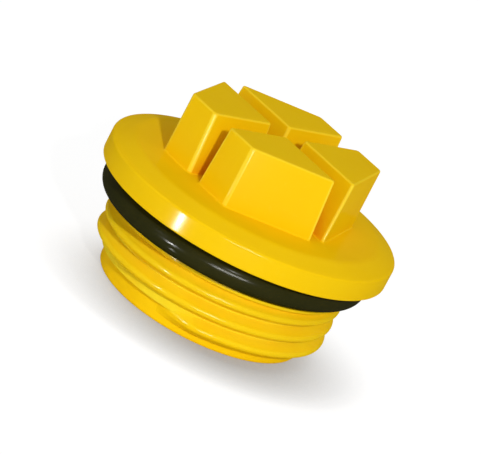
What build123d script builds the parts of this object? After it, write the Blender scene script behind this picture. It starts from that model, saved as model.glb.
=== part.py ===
from build123d import *
from math import cos, hypot, radians, sin, tan
import os

# Threaded sealing plug: a one-piece moulded body with a slotted hexagon head, a flange, a groove,
# a collar, a coarse moulded thread and a plain pilot end, and a rubber ring in the groove.
# Millimetres. Z runs along the plug's axis, z = 0 is the rim of the pilot end, and X runs across
# two opposite corners of the hexagon. The thread is right handed, 27 mm across with a 2 mm pitch.

# Heights along the axis, from the pilot end upwards
pilot_length = 2.2
thread_length = 5.15
collar_length = 0.35
groove_length = 3.3
flange_thickness = 3.3
head_height = 6.9

# Pilot end and blind bore
pilot_diameter = 23.3
pilot_chamfer = 0.4
bore_wall = 2.1
bore_floor = 2.7
bore_draft = 1.0
bore_round = 1.5
bore_chamfer = 0.3

# Thread: a ridge that fades in near the pilot end and out at the collar
thread_diameter = 27.0
thread_pitch = 2.0
thread_depth = 1.15
crest_width = 0.5
flank_angle = 30.0
ridge_embedding = 0.8
thread_start_angle = -72.0
thread_start_drop = 0.3
run_in_angle = 32.0
run_out_angle = 60.0
station_angle = 12.0
faded_share = 0.05

# Collar and groove
collar_diameter = 26.6
groove_diameter = 24.0

# Flange
flange_diameter = 32.8
flat_diameter = 28.2
slope_drop = 0.9
slope_round = 1.5
rim_round = 0.3
underside_round = 0.2

# Hexagon head and its two crossed slots
across_flats = 19.2
head_draft = 0.5
slot_width = 1.7
slot_draft = 3.9
top_round = 0.25
corner_extra = 0.05
slot_mouth_extra = 0.15

# Sealing ring
cord_diameter = 2.9
ring_clearance = 0.05

# Levels and radii that follow from the sizes above
collar_level = pilot_length + thread_length
shoulder_level = collar_level + collar_length
underside_level = shoulder_level + groove_length
flange_level = underside_level + flange_thickness
top_level = flange_level + head_height
bore_level = flange_level - bore_floor
pilot_radius = pilot_diameter / 2
bore_radius = pilot_radius - bore_wall
thread_radius = thread_diameter / 2
core_radius = thread_radius - thread_depth
collar_radius = collar_diameter / 2
groove_radius = groove_diameter / 2
flange_radius = flange_diameter / 2
flank_slope = tan(radians(flank_angle))
collar_undercut = (collar_radius - core_radius) * flank_slope
slot_top_width = slot_width + 2 * head_height * tan(radians(slot_draft))

# The thread's turns: from below the pilot's shoulder up to the collar's lower edge
thread_start_level = pilot_length - thread_start_drop
thread_sweep = 360 * (collar_level - thread_start_level) / thread_pitch
station_count = round(thread_sweep / station_angle)

# How near two lengths are when they count as the same
tolerance = 0.01


def thread_plane(sweep):
    """Plane of one thread section: local X points outwards and local Y up the axis."""
    heading = radians(thread_start_angle + sweep)
    level = thread_start_level + thread_pitch * sweep / 360
    outwards = (cos(heading), sin(heading), 0)
    across = (sin(heading), -cos(heading), 0)
    return Plane(origin=(0, 0, level), x_dir=outwards, z_dir=across)


def ridge_share(sweep):
    """Share of its full height that the ridge has at an angle along the thread."""
    rise = min(sweep / run_in_angle, (thread_sweep - sweep) / run_out_angle, 1)
    return faded_share + (1 - faded_share) * rise


def reach(edge):
    """Distance of an edge's middle from the axis."""
    middle = edge.center()
    return hypot(middle.X, middle.Y)


def rings(part, radius, level):
    """Circular edges of a part at one radius and level."""
    return part.edges().filter_by(
        lambda edge: edge.geom_type == GeomType.CIRCLE
        and abs(edge.radius - radius) < tolerance
        and abs(edge.center().Z - level) < tolerance
    )


def head_uprights(part):
    """Edges that run up the head's blocks."""
    return part.edges().filter_by(
        lambda edge: edge.bounding_box().min.Z > flange_level - tolerance
        and edge.bounding_box().size.Z > head_height / 2
    )


# Plug body, one moulding
with BuildPart() as plug_body:
    # Turned outline, from the pilot's rim up to the flat of the flange
    with BuildSketch(Plane.XZ):
        with BuildLine():
            Polyline(
                (0, 0),
                (pilot_radius, 0),
                (pilot_radius, pilot_length),
                (core_radius, pilot_length),
                (core_radius, collar_level - collar_undercut),
                (collar_radius, collar_level),
                (collar_radius, shoulder_level),
                (groove_radius, shoulder_level),
                (groove_radius, underside_level),
                (flange_radius, underside_level),
                (flange_radius, flange_level - slope_drop),
                (flat_diameter / 2, flange_level),
                (0, flange_level),
                close=True,
            )
        make_face()
    revolve(axis=Axis.Z)
    chamfer(rings(plug_body, pilot_radius, 0), length=pilot_chamfer)
    fillet(rings(plug_body, flange_radius, underside_level), radius=underside_round)
    fillet(rings(plug_body, flange_radius, flange_level - slope_drop), radius=rim_round)
    fillet(rings(plug_body, flat_diameter / 2, flange_level), radius=slope_round)

    # Helical ridge, lofted through sections that climb around the axis, its foot sunk in the core
    base = core_radius - ridge_embedding
    half_crest = crest_width / 2
    half_foot = half_crest + thread_depth * flank_slope
    for station in range(station_count + 1):
        sweep = thread_sweep * station / station_count
        foot = base + (core_radius - base) * ridge_share(sweep)
        crest = base + (thread_radius - base) * ridge_share(sweep)
        with BuildSketch(thread_plane(sweep)):
            with BuildLine():
                Polyline(
                    (base, -half_foot),
                    (foot, -half_foot),
                    (crest, -half_crest),
                    (crest, half_crest),
                    (foot, half_foot),
                    (base, half_foot),
                    close=True,
                )
            make_face()
    loft()

    # Hexagon head, drafted from the flange upwards
    with BuildSketch(Plane.XY.offset(flange_level)):
        RegularPolygon(radius=across_flats / 2, side_count=6, major_radius=False)
    extrude(amount=head_height, taper=head_draft)

    # Two crossed slots, wider at the top than at the flange
    for slot_plane in (Plane.XZ, Plane.YZ):
        with BuildSketch(slot_plane):
            with BuildLine():
                Polyline(
                    (-slot_width / 2, flange_level),
                    (slot_width / 2, flange_level),
                    (slot_top_width / 2, top_level),
                    (-slot_top_width / 2, top_level),
                    close=True,
                )
            make_face()
        extrude(amount=across_flats, both=True, mode=Mode.SUBTRACT)

    # Rounded edges of the head's four blocks: slot mouths first, then corners, then the top
    hexagon_reach = across_flats / 2 / cos(radians(30))
    mouths = head_uprights(plug_body).filter_by(
        lambda edge: slot_top_width < reach(edge) < hexagon_reach - slot_width / 4
    )
    fillet(mouths, radius=top_round + slot_mouth_extra)
    corners = head_uprights(plug_body).filter_by(
        lambda edge: reach(edge) < slot_top_width or reach(edge) > hexagon_reach - slot_width / 4
    )
    fillet(corners, radius=top_round + corner_extra)
    block_tops = plug_body.faces().filter_by(lambda face: face.center().Z > top_level - tolerance)
    fillet(block_tops.edges(), radius=top_round)

    # Blind bore from the pilot end, narrowing upwards to a rounded corner
    bore_end_radius = bore_radius - bore_level * tan(radians(bore_draft))
    with BuildSketch(Plane.XZ) as bore_outline:
        with BuildLine():
            Polyline(
                (0, 0),
                (bore_radius + bore_chamfer, 0),
                (bore_radius, bore_chamfer),
                (bore_end_radius, bore_level),
                (0, bore_level),
                close=True,
            )
        make_face()
        bore_corner = bore_outline.vertices().group_by(Axis.Y)[-1].sort_by(Axis.X)[-1]
        fillet(bore_corner, radius=bore_round)
    revolve(axis=Axis.Z, mode=Mode.SUBTRACT)

plug_body.part.label = "plug_body"

# Sealing ring, round in section, midway between the groove's walls
cord_radius = cord_diameter / 2
ring_radius = groove_radius + ring_clearance + cord_radius
ring_level = shoulder_level + groove_length / 2
with BuildPart() as o_ring:
    with BuildSketch(Plane.XZ):
        with Locations((ring_radius, ring_level)):
            Circle(cord_radius)
    revolve(axis=Axis.Z)

o_ring.part.label = "o_ring"

os.makedirs("parts", exist_ok=True)
export_step(plug_body.part, "parts/plug_body.step")
export_step(o_ring.part, "parts/o_ring.step")
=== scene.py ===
"""Threaded sealing plug, dressed around its packed solids.

One yellow moulding, with a slotted hexagon head, a flange, a groove, a thread and a hollow pilot
end, and a black rubber ring in its groove. Metres, in the frame of the packed solids.
"""

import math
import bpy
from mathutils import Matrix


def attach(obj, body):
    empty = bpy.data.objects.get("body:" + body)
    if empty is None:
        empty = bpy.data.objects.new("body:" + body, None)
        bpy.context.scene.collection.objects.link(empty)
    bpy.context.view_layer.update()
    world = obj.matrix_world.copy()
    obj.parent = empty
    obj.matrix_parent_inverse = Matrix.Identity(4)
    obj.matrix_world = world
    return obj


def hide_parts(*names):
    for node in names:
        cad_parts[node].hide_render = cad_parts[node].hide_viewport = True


bl_info = {
    "name": "Threaded Sealing Plug",
    "version": (1, 0, 0),
    "blender": (4, 5, 0),
    "location": "View3D > Sidebar > Sealing Plug",
    "description": "Builds a moulded sealing plug with its rubber ring, finishes and studio",
    "category": "Object",
}

import bmesh
import bpy
from bpy.props import FloatProperty, FloatVectorProperty, IntProperty, PointerProperty
from bpy.types import Operator, Panel, PropertyGroup
from mathutils import Matrix, Quaternion, Vector

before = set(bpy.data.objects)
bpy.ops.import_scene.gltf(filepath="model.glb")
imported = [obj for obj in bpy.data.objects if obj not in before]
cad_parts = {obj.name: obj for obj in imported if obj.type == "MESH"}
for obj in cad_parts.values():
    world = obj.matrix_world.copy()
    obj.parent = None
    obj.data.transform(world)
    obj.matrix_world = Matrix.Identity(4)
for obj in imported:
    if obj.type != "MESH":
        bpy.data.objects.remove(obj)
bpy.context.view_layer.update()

MM = 0.001
BODY = "root"

QUARTER_TURN = math.pi / 2
HEAD_SIDES = 6

# Distance below which two points of a mesh are the same one
SAME_POINT = 1e-6
# Faces that meet at more than this angle keep a sharp edge between them
SHARP_ANGLE = math.radians(32)
# Facets across each rounding and each flare
ROUNDING_STEPS = 4
# Least cosine by which a corner's move is divided, so that a sharp corner doesn't run away
LEAST_MITRE = 0.5
# Attribute that says how far a face's colour is lightened, a painted highlight on the head's
# rounded edges
EDGE_HIGHLIGHT = "edge_highlight"

PLASTIC_NAME = "moulded yellow plastic"
RUBBER_NAME = "black ring rubber"
# Shape of the plastic's streaks, which are drawn out along the plug's axis
STREAK_SCALE = (1.0, 1.0, 0.45)
# Distance within which the slots' walls paint each other's shade into the plastic's colour, and
# how many rays measure it
SLOT_REACH = 3.0 * MM
SLOT_SAMPLES = 12

WHITE = (1, 1, 1, 1)
# Side and height that the soft shade on the floor comes from, as a vector from the floor
SHADE_HEADING = (-0.84, 0.37, 0.40)
# Distance within which the object shades the floor, and how many rays measure it
SHADE_REACH = 8.0 * MM
SHADE_SAMPLES = 16
# Nearest and furthest distance that the camera shows, in metres
CLIP_RANGE = (0.01, 100)


def length(name, description, millimetres):
    """A length that is shown in the panel, with its default given in millimetres."""
    return FloatProperty(
        name=name, description=description, default=millimetres * MM, unit="LENGTH", precision=5
    )


def angle(name, description, degrees):
    """An angle that is shown in the panel, with its default given in degrees."""
    return FloatProperty(
        name=name,
        description=description,
        default=math.radians(degrees),
        subtype="ANGLE",
        unit="ROTATION",
    )


def colour(name, description, rgb):
    """A linear colour that is shown in the panel."""
    return FloatVectorProperty(
        name=name, description=description, default=rgb, size=3, subtype="COLOR", min=0, max=1
    )


def share(name, description, value):
    """A share between 0 and 1 that is shown in the panel."""
    return FloatProperty(
        name=name, description=description, default=value, subtype="FACTOR", min=0, max=1
    )


def level_of_light(name, description, value):
    """A level of light that is shown in the panel, where 1 makes a white face plain white."""
    return FloatProperty(name=name, description=description, default=value, min=0)


def count(name, description, number, least):
    """A whole number that is shown in the panel."""
    return IntProperty(name=name, description=description, default=number, min=least)


# Sizes and colours that a user would change


class BodySizes(PropertyGroup):
    """Turned part of the moulding: pilot end, collar, groove, flange and blind bore."""

    pilot_radius: length("Pilot radius", "Outer radius of the plain pilot end", 11.65)
    pilot_top: length("Pilot top", "Level of the pilot's shoulder", 2.2)
    core_radius: length("Core radius", "Radius of the core between the thread's turns", 12.35)
    collar_radius: length("Collar radius", "Radius of the collar above the thread", 13.3)
    collar_level: length("Collar level", "Level of the collar's lower edge", 7.35)
    shoulder_level: length("Shoulder level", "Level of the groove's lower wall", 7.7)
    groove_radius: length("Groove radius", "Radius of the groove's floor", 12.0)
    underside_level: length("Flange underside", "Level of the flange's underside", 11.0)
    flange_radius: length("Flange radius", "Radius of the flange's rim", 16.39)
    flange_level: length("Flange level", "Level of the flange's flat top", 14.3)
    flat_radius: length("Flat radius", "Radius where the flange's flat top starts to slope", 14.1)
    slope_drop: length("Slope drop", "How far the flange's outer ring falls", 0.9)
    bore_radius: length("Bore radius", "Radius of the blind bore at its mouth", 9.55)
    bore_level: length("Bore level", "Level of the blind bore's floor", 11.6)
    bore_draft: angle("Bore draft", "Draft of the blind bore's wall", 1.0)
    bore_rim_round: length("Bore rim rounding", "Rounding of the bore's mouth", 0.25)
    bore_end_round: length("Bore end rounding", "Rounding between the bore's wall and floor", 1.20)
    pilot_rim_round: length("Pilot rim rounding", "Rounding of the pilot's outer rim", 0.40)
    step_round: length("Step rounding", "Rounding at the tops of the pilot and the core", 0.10)
    core_round: length("Core rounding", "Rounding of the core's lower edge", 0.06)
    collar_round: length("Collar rounding", "Rounding of the collar's two edges", 0.08)
    groove_round: length("Groove rounding", "Rounding of the groove's two inner corners", 0.15)
    underside_round: length("Underside rounding", "Rounding of the flange's lower edge", 0.20)
    rim_round: length("Rim rounding", "Rounding of the flange's upper edge", 0.22)
    flat_round: length("Flat rounding", "Rounding of the edge around the flange's flat top", 0.40)
    turn_steps: count("Turn steps", "Facets around the turned body", 240, 24)


class ThreadSizes(PropertyGroup):
    """Helical ridge of the thread."""

    crest_radius: length("Crest radius", "Radius of the thread's crest", 13.5)
    pitch: length("Pitch", "Rise of the thread in one turn", 2.0)
    crest_width: length("Crest width", "Width of the flat crest", 0.5)
    flank_angle: angle("Flank angle", "Slope of each flank from the radial direction", 30)
    embedding: length("Embedding", "How far the ridge's foot is sunk in the core", 0.8)
    crest_round: length("Crest rounding", "Setback of the rounding at the crest's two edges", 0.22)
    start_angle: angle("Start angle", "Heading at which the ridge begins", -66)
    start_level: length("Start level", "Level at which the ridge begins", 1.933)
    run_in: angle("Run-in", "Angle over which the ridge rises to its full height", 22)
    run_out: angle("Run-out", "Angle over which the ridge sinks into the collar", 60)
    faded_share: share("Faded share", "Share of the ridge's height left at its two ends", 0.05)
    step: angle("Step", "Angle between two sections of the ridge", 3)


class HeadSizes(PropertyGroup):
    """Hexagon head, cut into four blocks by two crossed slots."""

    across_flats: length("Across flats", "Width across the hexagon's flats at the flange", 19.2)
    height: length("Height", "Height of the head above the flange", 6.9)
    draft: angle("Draft", "Draft of the hexagon's faces", 0.5)
    slot_width: length("Slot width", "Width of the slots at the flange", 1.7)
    slot_draft: angle("Slot draft", "Draft of the slots' walls", 3.9)
    mouth_round: length("Mouth rounding", "Setback of the rounding at the slots' mouths", 0.4)
    corner_round: length("Corner rounding", "Setback of the rounding at the other uprights", 0.3)
    top_round: length("Top rounding", "Setback of the rounding around the blocks' tops", 0.25)
    # Painted highlight: how far the rounded edges are lightened, which stands in for light that
    # the roundings catch
    mouth_highlight: share("Mouth wear", "How far the slots' mouths are burnished", 0.8)
    corner_highlight: share("Corner wear", "How far the blocks' other uprights are burnished", 0.6)
    top_highlight: share("Top wear", "How far the edges of the blocks' tops are burnished", 0.35)
    foot_flare: length("Foot flare", "Size of the small fillet at the blocks' feet", 0.16)
    foot_depth: length("Foot depth", "How far the blocks are sunk in the flange", 0.3)


class RingSizes(PropertyGroup):
    """Rubber sealing ring."""

    cord_radius: length("Cord radius", "Radius of the ring's round section", 1.45)
    centre_radius: length("Centre radius", "Radius of the circle along the ring's cord", 13.74)
    level: length("Level", "Level of the section's middle", 9.29)
    slack: length("Slack", "How far the slack ring hangs off the axis", 0.2)
    slack_heading: angle("Slack heading", "Heading in which the ring hangs off the axis", -128)
    lean: angle("Lean", "How far the ring leans in its groove", 1.2)
    lean_heading: angle("Lean heading", "Heading of the ring's highest point", 15)
    turn_steps: count("Turn steps", "Facets around the ring", 192, 24)
    section_steps: count("Section steps", "Facets around the ring's section", 40, 12)


class FinishColours(PropertyGroup):
    """Colours of the plastic, with painted light and shade, the rubber and the floor."""

    plastic: colour("Plastic", "Moulded yellow plastic", (0.945, 0.600, 0.003))
    plastic_deep: colour("Deep plastic", "Streaks that carry more pigment", (0.905, 0.545, 0.002))
    # Painted light: the paler yellow of the thread and the lighter one in its valleys stand in for
    # light
    thread_painted_light: colour("Thread", "Paler yellow of the threaded end", (0.955, 0.650, 0.008))
    valley_painted_light: colour("Valleys", "Yellow between the thread's turns", (0.900, 0.700, 0.020))
    # Painted shade: deep orange that stands in for the shade in the depth of the slots
    painted_slot_shade: colour("Slots", "Deep orange in the depth of the slots", (0.860, 0.330, 0.004))
    worn_and_highlit: colour("Scuff", "Plastic where it has been scuffed", (0.975, 0.660, 0.030))
    # Painted highlight: the lighter yellow on the head's rounded edges
    edge: colour("Rounded edge", "Plastic on the head's burnished edges", (1.0, 0.745, 0.040))
    rubber: colour("Rubber", "Black rubber", (0.021, 0.021, 0.003))
    rubber_bloom: colour("Rubber bloom", "Dust and wax on the rubber", (0.042, 0.037, 0.010))
    floor: colour("Floor", "Floor of the studio, as it lights the object", (0.80, 0.80, 0.80))
    floor_seen: colour("Seen floor", "Floor of the studio, where it is seen", (0.18, 0.18, 0.18))


class FinishAmounts(PropertyGroup):
    """How strongly the finishes of the plastic and the rubber show."""

    streaks: share("Streaks", "How far the flow streaks tint the plastic", 0.45)
    scuffs: share("Scuffs", "How far the scuffs lighten the plastic", 0.30)
    # Painted shade: how far the shade in the depth of the slots is painted into the plastic's
    # colour
    slot_shade_amount: share("Slot depth", "How far the slots' depth turns the plastic orange", 0.9)
    plastic_gloss: share("Plastic gloss", "Weight of the clear coat on the plastic", 0.02)
    patches: share("Patches", "How far patches of bloom lighten the rubber", 0.35)
    specks: share("Specks", "How far specks of dust lighten the rubber", 0.25)
    rubber_gloss: share("Rubber gloss", "Weight of the clear coat on the rubber", 0.020)


class StudioSettings(PropertyGroup):
    """Camera, lamps, floor and world."""

    view_azimuth: angle("View azimuth", "Heading of the camera from the object's axis", -47.545)
    view_elevation: angle("View elevation", "Height of the camera above the level plane", 18.336)
    view_roll: angle("View roll", "Turn of the camera about its line of sight", 27.617)
    view_distance: length("View distance", "Distance from the camera to where it looks", 345.11)
    aim_level: length("Aim level", "Level of the point that the camera looks at", 9.624)
    aim_aside: length("Aim aside", "How far that point is off the axis, to the right", 0.168)
    lens: FloatProperty(name="Lens", description="Focal length", default=246.985, unit="CAMERA")
    ambient: level_of_light("Ambient", "Level of the world's light on the object", 0.42)
    key: level_of_light("Key", "Level of the small bright lamp beside the camera", 0.54)
    side: level_of_light("Side", "Level of the soft lamp on the left", 0.08)
    gleam: level_of_light("Gleam", "Brightness of the cards that only gloss mirrors", 800)
    floor_glow: share("Floor glow", "White that is added to the floor where it is seen", 0.90)
    floor_shade: share("Floor shade", "How much of that white the object's shade takes", 0.9)
    floor_size: length("Floor size", "Side of the square floor", 6000)


# Shapes


def heading(azimuth, elevation):
    """Unit vector that points from the object towards an azimuth and elevation."""
    level_share = math.cos(elevation)
    return Vector(
        (math.cos(azimuth) * level_share, math.sin(azimuth) * level_share, math.sin(elevation))
    )


def add_piece(name, bm, material):
    """Makes a bmesh an object at the origin that rides on the plug's one body."""
    bmesh.ops.remove_doubles(bm, verts=bm.verts, dist=SAME_POINT)
    bmesh.ops.dissolve_degenerate(bm, edges=bm.edges, dist=SAME_POINT)
    bmesh.ops.recalc_face_normals(bm, faces=bm.faces)
    open_edges = [edge for edge in bm.edges if len(edge.link_faces) != 2]
    if open_edges:
        raise RuntimeError(f"{name} has {len(open_edges)} open edges")
    if bm.calc_volume(signed=True) < 0:
        raise RuntimeError(f"{name} is inside out")
    for face in bm.faces:
        face.smooth = True
    for edge in bm.edges:
        edge.smooth = edge.calc_face_angle() < SHARP_ANGLE
    mesh = bpy.data.meshes.new(name)
    bm.to_mesh(mesh)
    bm.free()
    mesh.materials.append(material)
    piece = bpy.data.objects.new(name, mesh)
    bpy.context.scene.collection.objects.link(piece)
    weighted = piece.modifiers.new("Flat faces stay flat", "WEIGHTED_NORMAL")
    weighted.keep_sharp = True
    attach(piece, BODY)
    return piece


def add_moulding(name, bm, context):
    """Makes a bmesh a visible part of the yellow moulding."""
    piece = add_piece(name, bm, make_plastic(context))
    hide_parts("plug_body")


def round_off(bm, geometry, affect, setback):
    """Gives corners or edges a round bevel, and returns what it made."""
    return bmesh.ops.bevel(
        bm,
        geom=geometry,
        offset=setback,
        offset_type="OFFSET",
        affect=affect,
        segments=ROUNDING_STEPS,
        profile=0.5,
        material=-1,
        clamp_overlap=True,
    )


def draw_section(bm, corners):
    """Draws a face in the XZ plane through corners that are (radius, level, rounding)."""
    drawn = [(bm.verts.new((radius, 0, level)), rounding) for radius, level, rounding in corners]
    bm.faces.new([vert for vert, _ in drawn])
    for setback in sorted({rounding for _, rounding in drawn if rounding}):
        alike = [vert for vert, rounding in drawn if rounding == setback]
        round_off(bm, alike, "VERTICES", setback)


def spin_once(bm, steps):
    """Turns the outline of the drawn section into a closed body around the Z axis."""
    bmesh.ops.delete(bm, geom=bm.faces[:], context="FACES_ONLY")
    on_axis = [edge for edge in bm.edges if all(vert.co.x < SAME_POINT for vert in edge.verts)]
    bmesh.ops.delete(bm, geom=on_axis, context="EDGES")
    bmesh.ops.spin(
        bm,
        geom=bm.verts[:] + bm.edges[:],
        cent=(0, 0, 0),
        axis=(0, 0, 1),
        dvec=(0, 0, 0),
        angle=math.tau,
        steps=steps,
        use_merge=True,
        use_duplicate=False,
    )


class PLUG_OT_turned_body(Operator):
    """Builds the turned part of the moulding, with the groove, the flange and the blind bore"""

    bl_idname = "sealing_plug.turned_body"
    bl_label = "Turned Body"

    def execute(self, context):
        size = context.scene.plug_body_sizes
        thread = context.scene.plug_thread_sizes
        undercut = (size.collar_radius - size.core_radius) * math.tan(thread.flank_angle)
        bore_end = size.bore_radius - size.bore_level * math.tan(size.bore_draft)
        slope_level = size.flange_level - size.slope_drop
        corners = [
            (size.bore_radius, 0, size.bore_rim_round),
            (size.pilot_radius, 0, size.pilot_rim_round),
            (size.pilot_radius, size.pilot_top, size.step_round),
            (size.core_radius, size.pilot_top, size.core_round),
            (size.core_radius, size.collar_level - undercut, size.step_round),
            (size.collar_radius, size.collar_level, size.collar_round),
            (size.collar_radius, size.shoulder_level, size.collar_round),
            (size.groove_radius, size.shoulder_level, size.groove_round),
            (size.groove_radius, size.underside_level, size.groove_round),
            (size.flange_radius, size.underside_level, size.underside_round),
            (size.flange_radius, slope_level, size.rim_round),
            (size.flat_radius, size.flange_level, size.flat_round),
            (0, size.flange_level, 0),
            (0, size.bore_level, 0),
            (bore_end, size.bore_level, size.bore_end_round),
        ]
        bm = bmesh.new()
        draw_section(bm, corners)
        spin_once(bm, size.turn_steps)
        add_moulding("turned_body", bm, context)
        return {"FINISHED"}


class PLUG_OT_thread_ridge(Operator):
    """Builds the thread's helical ridge, which rises out of the core and sinks into the collar"""

    bl_idname = "sealing_plug.thread_ridge"
    bl_label = "Thread Ridge"

    def execute(self, context):
        size = context.scene.plug_thread_sizes
        turned = context.scene.plug_body_sizes
        sweep = math.tau * (turned.collar_level - size.start_level) / size.pitch
        steps = round(sweep / size.step)
        base = turned.core_radius - size.embedding
        half_crest = size.crest_width / 2
        depth = size.crest_radius - turned.core_radius
        half_foot = half_crest + depth * math.tan(size.flank_angle)
        corners = [
            (base, -half_foot, 0),
            (turned.core_radius, -half_foot, 0),
            (size.crest_radius, -half_crest, size.crest_round),
            (size.crest_radius, half_crest, size.crest_round),
            (turned.core_radius, half_foot, 0),
            (base, half_foot, 0),
        ]
        bm = bmesh.new()
        draw_section(bm, corners)
        bmesh.ops.spin(
            bm,
            geom=bm.verts[:] + bm.edges[:] + bm.faces[:],
            cent=(0, 0, 0),
            axis=(0, 0, 1),
            dvec=(0, 0, size.pitch * sweep / math.tau / steps),
            angle=sweep,
            steps=steps,
            use_duplicate=False,
        )
        close_holes(bm)
        for vert in bm.verts:
            turn = sweep_of(vert.co, size.pitch)
            radius = vert.co.to_2d().length
            faded = base + (radius - base) * ridge_share(turn, sweep, size)
            vert.co.x *= faded / radius
            vert.co.y *= faded / radius
        raised = Matrix.Translation((0, 0, size.start_level))
        turned_to = Matrix.Rotation(size.start_angle, 4, "Z")
        bmesh.ops.transform(bm, matrix=raised @ turned_to, verts=bm.verts)
        add_moulding("thread_ridge", bm, context)
        return {"FINISHED"}


def close_holes(bm):
    """Caps every open loop of the mesh."""
    open_edges = [edge for edge in bm.edges if len(edge.link_faces) == 1]
    if open_edges:
        bmesh.ops.holes_fill(bm, edges=open_edges, sides=0)


def sweep_of(point, pitch):
    """Angle along the helix, from its start on the X axis, of a point of the ridge."""
    turned = math.atan2(point.y, point.x)
    climbed = math.tau * point.z / pitch
    return turned + math.tau * round((climbed - turned) / math.tau)


def ridge_share(turn, sweep, size):
    """Share of its full height that the ridge has at an angle along the helix."""
    rise = max(0, min(turn / size.run_in, (sweep - turn) / size.run_out, 1))
    return size.faded_share + (1 - size.faded_share) * rise


class PLUG_OT_head_blocks(Operator):
    """Builds the four blocks that the crossed slots leave of the hexagon head"""

    bl_idname = "sealing_plug.head_blocks"
    bl_label = "Head Blocks"

    def execute(self, context):
        size = context.scene.plug_head_sizes
        level = context.scene.plug_body_sizes.flange_level
        bm = bmesh.new()
        bm.faces.layers.float.new(EDGE_HIGHLIGHT)
        half_side = math.pi / HEAD_SIDES
        corner_radius = size.across_flats / 2 / math.cos(half_side)
        bmesh.ops.create_circle(bm, cap_ends=True, radius=corner_radius, segments=HEAD_SIDES)
        corner_on_x = Matrix.Rotation(half_side, 3, "Z")
        bmesh.ops.rotate(bm, verts=bm.verts, cent=(0, 0, 0), matrix=corner_on_x)
        top = bmesh.ops.extrude_face_region(bm, geom=bm.faces[:])["geom"]
        top_verts = [item for item in top if isinstance(item, bmesh.types.BMVert)]
        shrink = 1 - size.height * math.tan(size.draft) / (size.across_flats / 2)
        bmesh.ops.scale(bm, verts=top_verts, vec=(shrink, shrink, 1))
        bmesh.ops.translate(bm, verts=top_verts, vec=(0, 0, size.height))
        cut_to_quarter(bm, size)
        round_block(bm, size)
        flare_foot(bm, size)
        for side in ("X", "Y"):
            block = bm.verts[:] + bm.edges[:] + bm.faces[:]
            bmesh.ops.mirror(bm, geom=block, axis=side, merge_dist=-1)
        bmesh.ops.translate(bm, verts=bm.verts, vec=(0, 0, level))
        add_moulding("head_blocks", bm, context)
        return {"FINISHED"}


def cut_to_quarter(bm, size):
    """Keeps the block of the hexagon that lies beyond the drafted walls of both slots."""
    for across in (Vector((1, 0, 0)), Vector((0, 1, 0))):
        normal = across * math.cos(size.slot_draft) - Vector((0, 0, math.sin(size.slot_draft)))
        bmesh.ops.bisect_plane(
            bm,
            geom=bm.verts[:] + bm.edges[:] + bm.faces[:],
            dist=SAME_POINT,
            plane_co=across * size.slot_width / 2,
            plane_no=normal,
            clear_inner=True,
        )
        close_holes(bm)


def rise_of(edge):
    """Difference in level between an edge's two ends."""
    return abs(edge.verts[0].co.z - edge.verts[1].co.z)


def reach_of(edge):
    """Distance of an edge's middle from the axis."""
    return ((edge.verts[0].co + edge.verts[1].co) / 2).to_2d().length


def at_level(parts, level):
    """The edges or faces that lie at a level."""
    return [
        part for part in parts if all(abs(vert.co.z - level) < SAME_POINT for vert in part.verts)
    ]


def round_block(bm, size):
    """Rounds the slot mouths, then the other uprights, then the edges of the top."""
    uprights = [edge for edge in bm.edges if rise_of(edge) > size.height / 2]
    inner, first_mouth, second_mouth, outer = sorted(uprights, key=reach_of)
    round_edges(bm, [first_mouth, second_mouth], size.mouth_round, size.mouth_highlight)
    round_edges(bm, [inner, outer], size.corner_round, size.corner_highlight)
    round_edges(bm, at_level(bm.edges, size.height), size.top_round, size.top_highlight)


def round_edges(bm, edges, setback, worn_and_highlit):
    """Rounds edges and writes down how far their colour is lightened, a painted highlight."""
    made = round_off(bm, edges, "EDGES", setback)
    edge_highlight = bm.faces.layers.float[EDGE_HIGHLIGHT]
    for face in made["faces"]:
        face[edge_highlight] = worn_and_highlit


def flare_foot(bm, size):
    """Adds a small fillet at the block's foot and sinks the foot in the flange."""
    foot = at_level(bm.faces, 0)[0]
    bmesh.ops.translate(bm, verts=foot.verts, vec=(0, 0, size.foot_flare))
    fallen, flared = 0.0, 0.0
    for step in range(1, ROUNDING_STEPS + 1):
        turn = QUARTER_TURN * step / ROUNDING_STEPS
        fall = size.foot_flare * math.sin(turn)
        flare = size.foot_flare * (1 - math.cos(turn))
        foot = extrude_foot(bm, foot, flare - flared, fall - fallen)
        fallen, flared = fall, flare
    extrude_foot(bm, foot, 0, size.foot_depth)


def outward_moves(face):
    """For each corner of a level face, how it moves when every side moves out by one."""
    moves = []
    for loop in face.loops:
        point = loop.vert.co
        ahead = (loop.link_loop_next.vert.co - point).to_2d().normalized()
        behind = (point - loop.link_loop_prev.vert.co).to_2d().normalized()
        turned = 1 if face.normal.z > 0 else -1
        normals = [turned * Vector((side.y, -side.x)) for side in (ahead, behind)]
        middle = (normals[0] + normals[1]).normalized()
        moves.append(middle / max(middle.dot(normals[0]), LEAST_MITRE))
    return moves


def extrude_foot(bm, foot, outwards, downwards):
    """Extrudes the foot's face downwards and outwards, and returns the new face."""
    made = bmesh.ops.extrude_face_region(bm, geom=[foot])["geom"]
    bmesh.ops.delete(bm, geom=[foot], context="FACES_ONLY")
    new_foot = [item for item in made if isinstance(item, bmesh.types.BMFace)][0]
    for loop, move in zip(new_foot.loops, outward_moves(new_foot)):
        loop.vert.co += Vector((move.x * outwards, move.y * outwards, -downwards))
    return new_foot


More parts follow.
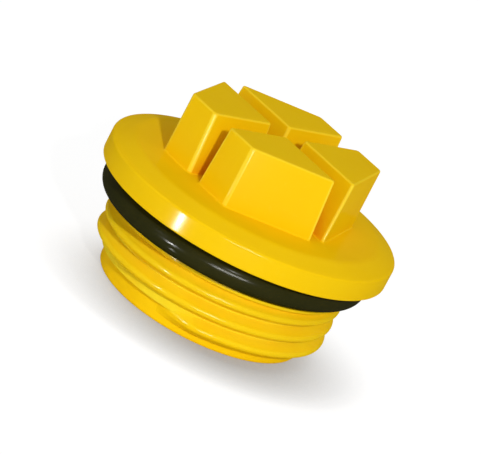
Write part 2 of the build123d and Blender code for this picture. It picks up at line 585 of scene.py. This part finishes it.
class PLUG_OT_sealing_ring(Operator):
    """Builds the rubber ring in the groove"""

    bl_idname = "sealing_plug.sealing_ring"
    bl_label = "Sealing Ring"

    def execute(self, context):
        size = context.scene.plug_ring_sizes
        bm = bmesh.new()
        bmesh.ops.create_circle(bm, radius=size.cord_radius, segments=size.section_steps)
        moved_out = Matrix.Translation((size.centre_radius, 0, size.level))
        upright = Matrix.Rotation(QUARTER_TURN, 4, "X")
        bmesh.ops.transform(bm, matrix=moved_out @ upright, verts=bm.verts)
        spin_once(bm, size.turn_steps)
        middle = (0, 0, size.level)
        lean = Matrix.Rotation(size.lean, 3, heading(size.lean_heading - QUARTER_TURN, 0))
        bmesh.ops.rotate(bm, verts=bm.verts, cent=middle, matrix=lean)
        off_axis = heading(size.slack_heading, 0) * size.slack
        bmesh.ops.translate(bm, verts=bm.verts, vec=off_axis)
        ring = add_piece("sealing_ring", bm, make_rubber(context))
        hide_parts("o_ring")
        return {"FINISHED"}


# Finishes


class Value:
    """A shader socket that adds a Math node for each operator used on it."""

    def __init__(self, finish, socket):
        self.finish = finish
        self.socket = socket

    def __add__(self, other):
        return self.finish.math("ADD", self, other)

    def __radd__(self, other):
        return self.finish.math("ADD", other, self)

    def __sub__(self, other):
        return self.finish.math("SUBTRACT", self, other)

    def __rsub__(self, other):
        return self.finish.math("SUBTRACT", other, self)

    def __mul__(self, other):
        return self.finish.math("MULTIPLY", self, other)

    def __rmul__(self, other):
        return self.finish.math("MULTIPLY", other, self)


class Finish:
    """The node tree of a material, lamp or world."""

    def __init__(self, owner):
        owner.use_nodes = True
        self.tree = owner.node_tree
        self.tree.nodes.clear()

    def add(self, kind, settings=None, sockets=None):
        """Adds a node with its settings and its sockets' values or links, and returns its outputs.

        Sockets go by their identifiers, because several of one node can have the same name.
        """
        node = self.tree.nodes.new(kind)
        for name, value in (settings or {}).items():
            setattr(node, name, value)
        inputs = {socket.identifier: socket for socket in node.inputs}
        for name, value in (sockets or {}).items():
            if isinstance(value, Value):
                self.tree.links.new(value.socket, inputs[name])
            else:
                inputs[name].default_value = value
        return {socket.identifier: Value(self, socket) for socket in node.outputs}

    def math(self, operation, first, second):
        """Works on two values with a Math node."""
        sockets = {"Value": first, "Value_001": second}
        return self.add("ShaderNodeMath", {"operation": operation}, sockets)["Value"]

    def noise(self, where, scale, detail, roughness=0.55):
        """Noise between 0 and 1, whose scale counts its waves in a metre."""
        sockets = {"Vector": where, "Scale": scale, "Detail": detail, "Roughness": roughness}
        return self.add("ShaderNodeTexNoise", sockets=sockets)["Fac"]

    def spread(self, value, low, high):
        """Stretches the values between low and high over 0 to 1."""
        sockets = {"Value": value, "From Min": low, "From Max": high}
        return self.add("ShaderNodeMapRange", sockets=sockets)["Result"]

    def axis_distance(self, where):
        """Distance of a point from the plug's axis."""
        aside = self.add(
            "ShaderNodeVectorMath",
            {"operation": "MULTIPLY"},
            {"Vector": where, "Vector_001": (1, 1, 0)},
        )["Vector"]
        measured = self.add("ShaderNodeVectorMath", {"operation": "LENGTH"}, {"Vector": aside})
        return measured["Value"]

    def openness(self, reach, samples, **sockets):
        """Share of the directions in which nothing is within reach of a point."""
        sockets["Distance"] = reach
        return self.add("ShaderNodeAmbientOcclusion", {"samples": samples}, sockets)["AO"]

    def blend_colours(self, factor, first, second):
        """Mixes two colours, each one a socket's or a property's."""
        sockets = {"Factor_Float": factor, "A_Color": opaque(first), "B_Color": opaque(second)}
        return self.add("ShaderNodeMix", {"data_type": "RGBA"}, sockets)["Result_Color"]

    def seen_directly(self):
        """1 for rays that show the background: from the camera, off gloss or through glass."""
        rays = self.add("ShaderNodeLightPath")
        bounced = self.math("MAXIMUM", rays["Is Glossy Ray"], rays["Is Transmission Ray"])
        return self.math("MAXIMUM", rays["Is Camera Ray"], bounced)

    def end_coated(self, colour, roughness, relief, gloss, gloss_roughness):
        """Ends a material with a dull, uneven base under a thin clear coat that has the gloss."""
        bumped = self.add("ShaderNodeBump", sockets=relief)["Normal"]
        sockets = {
            "Base Color": colour,
            "Roughness": roughness,
            "Normal": bumped,
            "IOR": 1.5,
            "Specular IOR Level": 0.0,
            "Coat Weight": gloss,
            "Coat IOR": 2.4,
            "Coat Roughness": gloss_roughness,
        }
        surface = self.add("ShaderNodeBsdfPrincipled", sockets=sockets)["BSDF"]
        self.add("ShaderNodeOutputMaterial", sockets={"Surface": surface})


def opaque(shade):
    """A colour property with full alpha, or a colour socket as it is."""
    return shade if isinstance(shade, Value) else (*shade, 1)


def make_plastic(context):
    """Semi-gloss moulded plastic, with flow streaks, fine grain and scattered scuffs, and with
    painted light and shade: a painted highlight on the head's rounded edges, paler yellow on the
    thread and deep orange in the slots.
    """
    if PLASTIC_NAME in bpy.data.materials:
        return bpy.data.materials[PLASTIC_NAME]
    amounts = context.scene.plug_finish_amounts
    material = bpy.data.materials.new(PLASTIC_NAME)
    finish = Finish(material)
    where = finish.add("ShaderNodeTexCoord")["Object"]
    drawn_out = finish.add("ShaderNodeMapping", sockets={"Vector": where, "Scale": STREAK_SCALE})
    flow = finish.noise(drawn_out["Vector"], scale=160, detail=4)
    streaks = finish.spread(flow, low=0.35, high=0.68)
    wear_and_highlight = finish.noise(where, scale=1500, detail=5, roughness=0.7)
    scuffs = finish.spread(wear_and_highlight, low=0.60, high=0.72)
    grain = finish.noise(where, scale=5200, detail=2)
    ripple = finish.noise(where, scale=420, detail=3)
    yellow = colour_by_place(context, finish, where)
    colours = context.scene.plug_finish_colours
    tinted = finish.blend_colours(streaks * amounts.streaks, yellow, colours.plastic_deep)
    marked = finish.blend_colours(scuffs * amounts.scuffs, tinted, colours.worn_and_highlit)
    # Painted highlight along the head's rounded edges
    highlighted = finish.add("ShaderNodeAttribute", {"attribute_name": EDGE_HIGHLIGHT})["Fac"]
    height = grain * 0.35 + ripple * 0.65
    finish.end_coated(
        colour=finish.blend_colours(highlighted, marked, colours.edge),
        roughness=0.30 + 0.08 * streaks + 0.10 * scuffs,
        relief={"Strength": 0.10, "Distance": 0.05 * MM, "Height": height},
        gloss=amounts.plastic_gloss - 0.01 * scuffs,
        gloss_roughness=0.17,
    )
    return material


def colour_by_place(context, finish, where):
    """The plastic's yellow, with painted light that makes it paler on the thread and lighter still
    in the thread's valleys, and painted shade that turns it deep orange in the depth of the slots.

    Each change of colour fades over a few tenths of a millimetre around the edge that it follows.
    """
    scene = context.scene
    colours, body = scene.plug_finish_colours, scene.plug_body_sizes
    level = finish.add("ShaderNodeSeparateXYZ", sockets={"Vector": where})["Z"]
    pilot, groove, flange = body.pilot_top, body.shoulder_level, body.flange_level
    above_pilot = finish.spread(level, low=pilot - 0.2 * MM, high=pilot + 0.1 * MM)
    below_groove = finish.spread(level, low=groove + 0.5 * MM, high=groove - 0.1 * MM)
    above_flange = finish.spread(level, low=flange - 0.3 * MM, high=flange + 0.1 * MM)
    crest, core = scene.plug_thread_sizes.crest_radius, body.core_radius
    radius = finish.axis_distance(where)
    valleys = finish.spread(radius, low=crest - 0.3 * MM, high=core + 0.05 * MM)
    # Painted shade: the plastic turns deep orange where the slots' walls close it in
    slot_shade_mask = finish.spread(finish.openness(SLOT_REACH, SLOT_SAMPLES), low=0.52, high=0.27)
    threaded = above_pilot * below_groove
    depth = slot_shade_mask * above_flange * scene.plug_finish_amounts.slot_shade_amount
    # Painted light: paler yellow on the thread, and a lighter one in its valleys
    thread = finish.blend_colours(valleys, colours.thread_painted_light, colours.valley_painted_light)
    yellow = finish.blend_colours(threaded, colours.plastic, thread)
    return finish.blend_colours(depth, yellow, colours.painted_slot_shade)


def make_rubber(context):
    """Black rubber with a soft sheen, a little bloom and a fine grain."""
    colours, amounts = context.scene.plug_finish_colours, context.scene.plug_finish_amounts
    material = bpy.data.materials.new(RUBBER_NAME)
    finish = Finish(material)
    where = finish.add("ShaderNodeTexCoord")["Object"]
    patches = finish.spread(finish.noise(where, scale=260, detail=4), low=0.40, high=0.70)
    dust = finish.noise(where, scale=3300, detail=2, roughness=0.5)
    specks = finish.spread(dust, low=0.66, high=0.74)
    grain = finish.noise(where, scale=4200, detail=3)
    bloom = patches * amounts.patches + specks * amounts.specks
    finish.end_coated(
        colour=finish.blend_colours(bloom, colours.rubber, colours.rubber_bloom),
        roughness=0.34 + 0.10 * patches,
        relief={"Strength": 0.12, "Distance": 0.04 * MM, "Height": grain},
        gloss=amounts.rubber_gloss - 0.007 * patches,
        gloss_roughness=0.20,
    )
    return material


# Studio


def face_back(item, towards, roll=0):
    """Turns a lamp or a camera to face back along a direction, with a roll about it."""
    item.rotation_mode = "QUATERNION"
    item.rotation_quaternion = towards.to_track_quat("Z", "Y") @ Quaternion((0, 0, 1), roll)


def add_area_light(name, place, towards, width, height, energy):
    """Adds a rectangular light that shines back along a direction."""
    light = bpy.data.lights.new(name, "AREA")
    light.shape = "RECTANGLE"
    light.size = width
    light.size_y = height
    light.energy = energy
    light_object = bpy.data.objects.new(name, light)
    light_object.location = place
    face_back(light_object, towards)
    bpy.context.scene.collection.objects.link(light_object)
    return light_object


def add_lamp(name, settings, turn, elevation, distance, width, height, level):
    """Adds a lamp that faces the object.

    Its turn is counted from the camera's heading and is in degrees, as its elevation is, and its
    sizes are in metres. Its level is the share of white that it gives a white face.
    """
    towards = heading(settings.view_azimuth + math.radians(turn), math.radians(elevation))
    place = Vector((0, 0, settings.aim_level)) + towards * distance
    energy = level * (math.pi * distance) ** 2
    add_area_light(name, place, towards, width, height, energy)


def add_card(name, settings, radius, turn, reach, level, width, height, brightness):
    """Adds a bright card that only gloss shows, where an upright wall mirrors it to the camera.

    The wall is given by its radius and by its turn from the camera's heading, in degrees. All
    lengths are in millimetres, and the brightness is a share of the gleam.
    """
    wall = heading(settings.view_azimuth + math.radians(turn), 0)
    mirrored = heading(settings.view_azimuth + 2 * math.radians(turn), 0)
    place = (radius * wall + reach * mirrored + Vector((0, 0, level))) * MM
    energy = brightness * settings.gleam * math.pi * (width * MM) * (height * MM)
    card = add_area_light(name, place, mirrored, width * MM, height * MM, energy)
    card.visible_camera = False
    card.visible_diffuse = False
    card.visible_transmission = False


class PLUG_OT_studio(Operator):
    """Builds the floor, the lamps, the world and the camera"""

    bl_idname = "sealing_plug.studio"
    bl_label = "Studio"

    def execute(self, context):
        settings = context.scene.plug_studio_settings
        context.scene.view_settings.view_transform = "Standard"
        self.add_floor(context, settings)
        self.light_world(context, settings)
        self.add_camera(context, settings)
        add_lamp(
            "key lamp",
            settings,
            turn=14,
            elevation=28,
            distance=0.60,
            width=0.03,
            height=0.03,
            level=settings.key,
        )
        add_lamp(
            "side lamp",
            settings,
            turn=-50,
            elevation=10,
            distance=0.50,
            width=0.08,
            height=0.15,
            level=settings.side,
        )
        add_card(
            "rim card",
            settings,
            radius=16.4,
            turn=-20,
            reach=30,
            level=2.35,
            width=2.0,
            height=2.9,
            brightness=1.5,
        )
        add_card(
            "low card",
            settings,
            radius=14.9,
            turn=-20,
            reach=3,
            level=5,
            width=0.5,
            height=1.5,
            brightness=0.15,
        )
        add_card(
            "wide card",
            settings,
            radius=14.9,
            turn=5.5,
            reach=35,
            level=11.9,
            width=22,
            height=6,
            brightness=0.16,
        )
        return {"FINISHED"}

    def add_floor(self, context, settings):
        """Adds a white floor, with the object's shadow and a soft shade close to the object."""
        bm = bmesh.new()
        bmesh.ops.create_grid(bm, x_segments=1, y_segments=1, size=settings.floor_size / 2)
        mesh = bpy.data.meshes.new("floor")
        bm.to_mesh(mesh)
        bm.free()
        material = bpy.data.materials.new("pale floor")
        finish = Finish(material)
        direct = finish.seen_directly()
        colours = context.scene.plug_finish_colours
        shaded_from = finish.add("ShaderNodeCombineXYZ", sockets=dict(zip("XYZ", SHADE_HEADING)))
        clear = finish.openness(SHADE_REACH, SHADE_SAMPLES, Normal=shaded_from["Vector"])
        matte = finish.add(
            "ShaderNodeBsdfPrincipled",
            sockets={
                "Base Color": finish.blend_colours(direct, colours.floor, colours.floor_seen),
                "Roughness": 0.9,
                "Specular IOR Level": 0.1,
            },
        )["BSDF"]
        strength = direct * (settings.floor_glow - settings.floor_shade * (1 - clear))
        glow = finish.add("ShaderNodeEmission", sockets={"Color": WHITE, "Strength": strength})
        surface = finish.add(
            "ShaderNodeAddShader", sockets={"Shader": matte, "Shader_001": glow["Emission"]}
        )["Shader"]
        finish.add("ShaderNodeOutputMaterial", sockets={"Surface": surface})
        mesh.materials.append(material)
        floor = bpy.data.objects.new("floor", mesh)
        context.scene.collection.objects.link(floor)

    def light_world(self, context, settings):
        """Lights the object with even white, and shows plain white where the world is seen."""
        world = bpy.data.worlds.new("studio")
        context.scene.world = world
        finish = Finish(world)
        strength = finish.seen_directly() * (1.0 - settings.ambient) + settings.ambient
        background = finish.add(
            "ShaderNodeBackground", sockets={"Color": WHITE, "Strength": strength}
        )["Background"]
        finish.add("ShaderNodeOutputWorld", sockets={"Surface": background})

    def add_camera(self, context, settings):
        """Adds the camera, which is rolled about its line of sight as the photograph's is."""
        camera = bpy.data.cameras.new("camera")
        camera.lens = settings.lens
        camera.clip_start, camera.clip_end = CLIP_RANGE
        towards = heading(settings.view_azimuth, settings.view_elevation)
        to_the_right = heading(settings.view_azimuth + QUARTER_TURN, 0)
        aim = Vector((0, 0, settings.aim_level)) + to_the_right * settings.aim_aside
        camera_object = bpy.data.objects.new("camera", camera)
        camera_object.location = aim + towards * settings.view_distance
        face_back(camera_object, towards, settings.view_roll)
        context.scene.collection.objects.link(camera_object)
        context.scene.camera = camera_object


class PLUG_PT_panel(Panel):
    """Lists the plug's pieces and sizes in the 3D view's sidebar."""

    bl_idname = "PLUG_PT_panel"
    bl_label = "Sealing Plug"
    bl_space_type = "VIEW_3D"
    bl_region_type = "UI"
    bl_category = "Sealing Plug"

    def draw(self, context):
        for step in STEPS:
            self.layout.operator(step.bl_idname)
        for name, group in GROUPS.items():
            box = self.layout.box()
            box.label(text=group.__doc__)
            settings = getattr(context.scene, name)
            for entry in group.__annotations__:
                box.prop(settings, entry)


STEPS = (
    PLUG_OT_studio,
    PLUG_OT_turned_body,
    PLUG_OT_thread_ridge,
    PLUG_OT_head_blocks,
    PLUG_OT_sealing_ring,
)
GROUPS = {
    "plug_body_sizes": BodySizes,
    "plug_thread_sizes": ThreadSizes,
    "plug_head_sizes": HeadSizes,
    "plug_ring_sizes": RingSizes,
    "plug_finish_colours": FinishColours,
    "plug_finish_amounts": FinishAmounts,
    "plug_studio_settings": StudioSettings,
}


def register():
    """Registers the settings, the operators and the panel."""
    for name, group in GROUPS.items():
        bpy.utils.register_class(group)
        setattr(bpy.types.Scene, name, PointerProperty(type=group))
    for entry in (*STEPS, PLUG_PT_panel):
        bpy.utils.register_class(entry)


def unregister():
    """Takes the panel, the operators and the settings away again."""
    for entry in reversed((*STEPS, PLUG_PT_panel)):
        bpy.utils.unregister_class(entry)
    for name, group in GROUPS.items():
        delattr(bpy.types.Scene, name)
        bpy.utils.unregister_class(group)


def main():
    """Builds every piece in order."""
    register()
    bpy.ops.sealing_plug.studio()
    bpy.ops.sealing_plug.turned_body()
    bpy.ops.sealing_plug.thread_ridge()
    bpy.ops.sealing_plug.head_blocks()
    bpy.ops.sealing_plug.sealing_ring()


if __name__ == "__main__":
    main()
